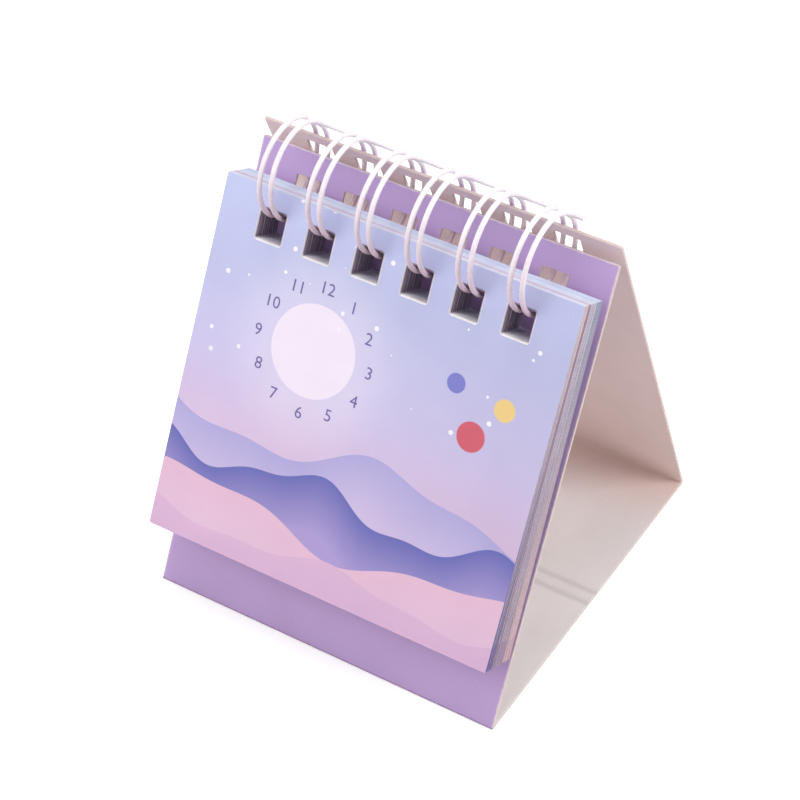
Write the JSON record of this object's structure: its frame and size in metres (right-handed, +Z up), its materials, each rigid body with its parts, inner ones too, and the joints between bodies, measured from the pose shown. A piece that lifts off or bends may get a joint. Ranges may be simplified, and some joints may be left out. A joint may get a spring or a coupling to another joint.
{
  "type": "desk calendar",
  "caption": "Small easel desk calendar: a folded card stand whose punched top edges hold a twin-loop wire, on which loose sheets hang in front and turn over the top.",
  "frame": {"origin": "the middle of the base panel's underside, on the table", "axes": "+X runs along the binding, to the right as seen from the front; +Y points from the sheets to the rear panel; +Z is up"},
  "size_m": [0.061, 0.0632, 0.074],
  "materials": {
    "easel_card": "matte printed card",
    "binding_wire": "white coated wire",
    "cover_paper": "matte printed paper",
    "sheet_paper": "matte printed paper"
  },
  "bodies": {
    "easel_front": {"front_panel": "easel_card", "base_panel": "easel_card"},
    "easel_rear": {"rear_panel": "easel_card"},
    "binding": {"binding_wire": "binding_wire"},
    "month_16": {"month_sheet_16": "sheet_paper"},
    "month_15": {"month_sheet_15": "sheet_paper"},
    "month_14": {"month_sheet_14": "sheet_paper"},
    "month_13": {"month_sheet_13": "sheet_paper"},
    "month_12": {"month_sheet_12": "sheet_paper"},
    "month_11": {"month_sheet_11": "sheet_paper"},
    "month_10": {"month_sheet_10": "sheet_paper"},
    "month_09": {"month_sheet_09": "sheet_paper"},
    "month_08": {"month_sheet_08": "sheet_paper"},
    "month_07": {"month_sheet_07": "sheet_paper"},
    "month_06": {"month_sheet_06": "sheet_paper"},
    "month_05": {"month_sheet_05": "sheet_paper"},
    "month_04": {"month_sheet_04": "sheet_paper"},
    "month_03": {"month_sheet_03": "sheet_paper"},
    "month_02": {"month_sheet_02": "sheet_paper"},
    "month_01": {"month_sheet_01": "sheet_paper"},
    "cover": {"cover_sheet": "cover_paper"}
  },
  "joints": [
    {"name": "easel_fold", "type": "hinge", "parent": "easel_front", "child": "easel_rear", "pos_m": [0, -0.00066, 0.06593], "axis": [-1, 0, 0], "range_deg": [0, 47.4], "deforming": ["base_panel"]},
    {"name": "binding_roll", "type": "hinge", "parent": "easel_front", "child": "binding", "pos_m": [0, -0.00066, 0.06593], "axis": [-1, 0, 0], "range_deg": [0, 34]},
    {"name": "month_16_turn", "type": "hinge", "parent": "easel_front", "child": "month_16", "pos_m": [0, -0.00066, 0.06593], "axis": [-1, 0, 0], "range_deg": [0, 5]},
    {"name": "month_15_turn", "type": "hinge", "parent": "month_16", "child": "month_15", "pos_m": [0, -0.00066, 0.06593], "axis": [-1, 0, 0], "range_deg": [0, 5]},
    {"name": "month_14_turn", "type": "hinge", "parent": "month_15", "child": "month_14", "pos_m": [0, -0.00066, 0.06593], "axis": [-1, 0, 0], "range_deg": [0, 5]},
    {"name": "month_13_turn", "type": "hinge", "parent": "month_14", "child": "month_13", "pos_m": [0, -0.00066, 0.06593], "axis": [-1, 0, 0], "range_deg": [0, 5]},
    {"name": "month_12_turn", "type": "hinge", "parent": "month_13", "child": "month_12", "pos_m": [0, -0.00066, 0.06593], "axis": [-1, 0, 0], "range_deg": [0, 5]},
    {"name": "month_11_turn", "type": "hinge", "parent": "month_12", "child": "month_11", "pos_m": [0, -0.00066, 0.06593], "axis": [-1, 0, 0], "range_deg": [0, 5]},
    {"name": "month_10_turn", "type": "hinge", "parent": "month_11", "child": "month_10", "pos_m": [0, -0.00066, 0.06593], "axis": [-1, 0, 0], "range_deg": [0, 5]},
    {"name": "month_09_turn", "type": "hinge", "parent": "month_10", "child": "month_09", "pos_m": [0, -0.00066, 0.06593], "axis": [-1, 0, 0], "range_deg": [0, 5]},
    {"name": "month_08_turn", "type": "hinge", "parent": "month_09", "child": "month_08", "pos_m": [0, -0.00066, 0.06593], "axis": [-1, 0, 0], "range_deg": [0, 5]},
    {"name": "month_07_turn", "type": "hinge", "parent": "month_08", "child": "month_07", "pos_m": [0, -0.00066, 0.06593], "axis": [-1, 0, 0], "range_deg": [0, 5]},
    {"name": "month_06_turn", "type": "hinge", "parent": "month_07", "child": "month_06", "pos_m": [0, -0.00066, 0.06593], "axis": [-1, 0, 0], "range_deg": [0, 5]},
    {"name": "month_05_turn", "type": "hinge", "parent": "month_06", "child": "month_05", "pos_m": [0, -0.00066, 0.06593], "axis": [-1, 0, 0], "range_deg": [0, 5]},
    {"name": "month_04_turn", "type": "hinge", "parent": "month_05", "child": "month_04", "pos_m": [0, -0.00066, 0.06593], "axis": [-1, 0, 0], "range_deg": [0, 5]},
    {"name": "month_03_turn", "type": "hinge", "parent": "month_04", "child": "month_03", "pos_m": [0, -0.00066, 0.06593], "axis": [-1, 0, 0], "range_deg": [0, 5]},
    {"name": "month_02_turn", "type": "hinge", "parent": "month_03", "child": "month_02", "pos_m": [0, -0.00066, 0.06593], "axis": [-1, 0, 0], "range_deg": [0, 5]},
    {"name": "month_01_turn", "type": "hinge", "parent": "month_02", "child": "month_01", "pos_m": [0, -0.00066, 0.06593], "axis": [-1, 0, 0], "range_deg": [0, 5]},
    {"name": "cover_turn", "type": "hinge", "parent": "month_01", "child": "cover", "pos_m": [0, -0.00066, 0.06593], "axis": [-1, 0, 0], "range_deg": [0, 87]}
  ]
}
